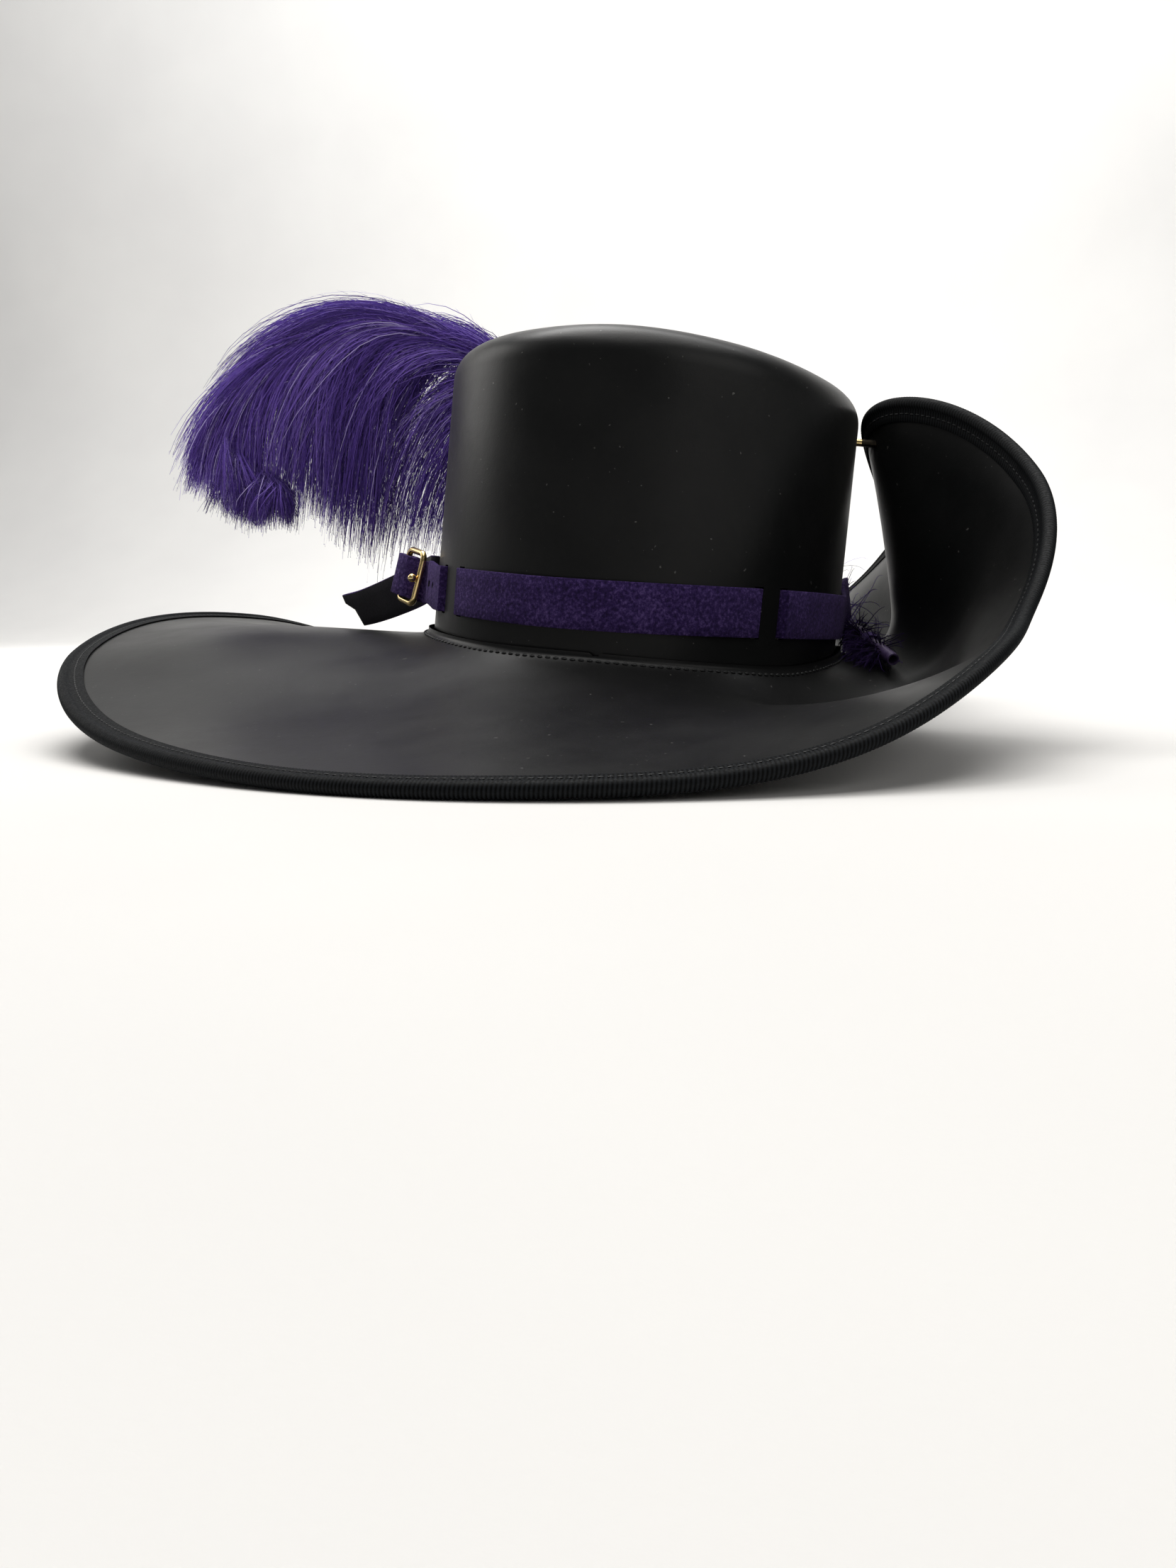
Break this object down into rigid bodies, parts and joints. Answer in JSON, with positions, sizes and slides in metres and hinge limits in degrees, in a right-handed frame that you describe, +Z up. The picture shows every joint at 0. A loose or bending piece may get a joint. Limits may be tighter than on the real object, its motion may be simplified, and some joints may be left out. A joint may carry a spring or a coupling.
{
  "type": "cavalier hat",
  "caption": "Black leather cavalier hat: wide brim pinned up on one side, bound edge, purple suede band through crown slots with a brass buckle, and a purple ostrich plume.",
  "frame": {"origin": "middle of the bounding box's bottom face, on the surface that the hat rests on", "axes": "+Z up, -Y towards the front of the hat, +X towards the side whose brim is pinned up"},
  "size_m": [0.4095, 0.4478, 0.1998],
  "materials": {
    "leather": "satin",
    "tape": "matte",
    "suede": "matte",
    "brass": "polished",
    "horn": "satin",
    "feather": "matte"
  },
  "bodies": {
    "root": {"crown": "leather", "brim": "leather", "edge_binding": "tape", "hat_band": "suede", "buckle_frame": "brass", "buckle_prong": "brass", "brim_pin": "brass", "quill": "horn", "quill_wrap": "feather", "plume": "feather"}
  },
  "joints": []
}
